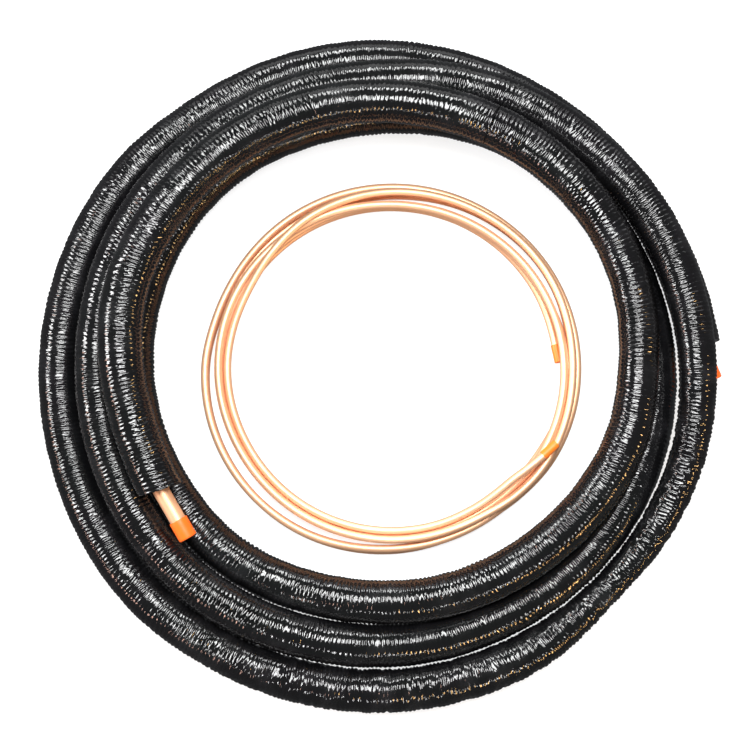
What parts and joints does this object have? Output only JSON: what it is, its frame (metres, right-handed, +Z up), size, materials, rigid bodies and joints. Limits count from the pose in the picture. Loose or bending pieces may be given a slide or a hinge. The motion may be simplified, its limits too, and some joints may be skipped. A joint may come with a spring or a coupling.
{
  "type": "mini split line set",
  "caption": "Insulated copper suction line and bare copper liquid line for a split air conditioner, each wound in a loose flat coil, with capped ends",
  "frame": {"origin": "on the floor, under the middle of the outline of the whole set", "axes": "+Z up, the coils lie flat in the XY plane, +X to the right and +Y away from the viewer as the picture shows them"},
  "size_m": [0.819, 0.816, 0.1399],
  "materials": {
    "copper": "bright drawn copper",
    "black_film": "crinkled glossy film over foam",
    "orange_vinyl": "soft satin vinyl"
  },
  "bodies": {
    "root": {"suction_tube": "copper", "suction_insulation": "black_film", "suction_cap_outer": "orange_vinyl", "suction_cap_inner": "orange_vinyl", "liquid_tube": "copper", "liquid_cap_inner": "orange_vinyl", "liquid_cap_outer": "orange_vinyl"}
  },
  "joints": []
}
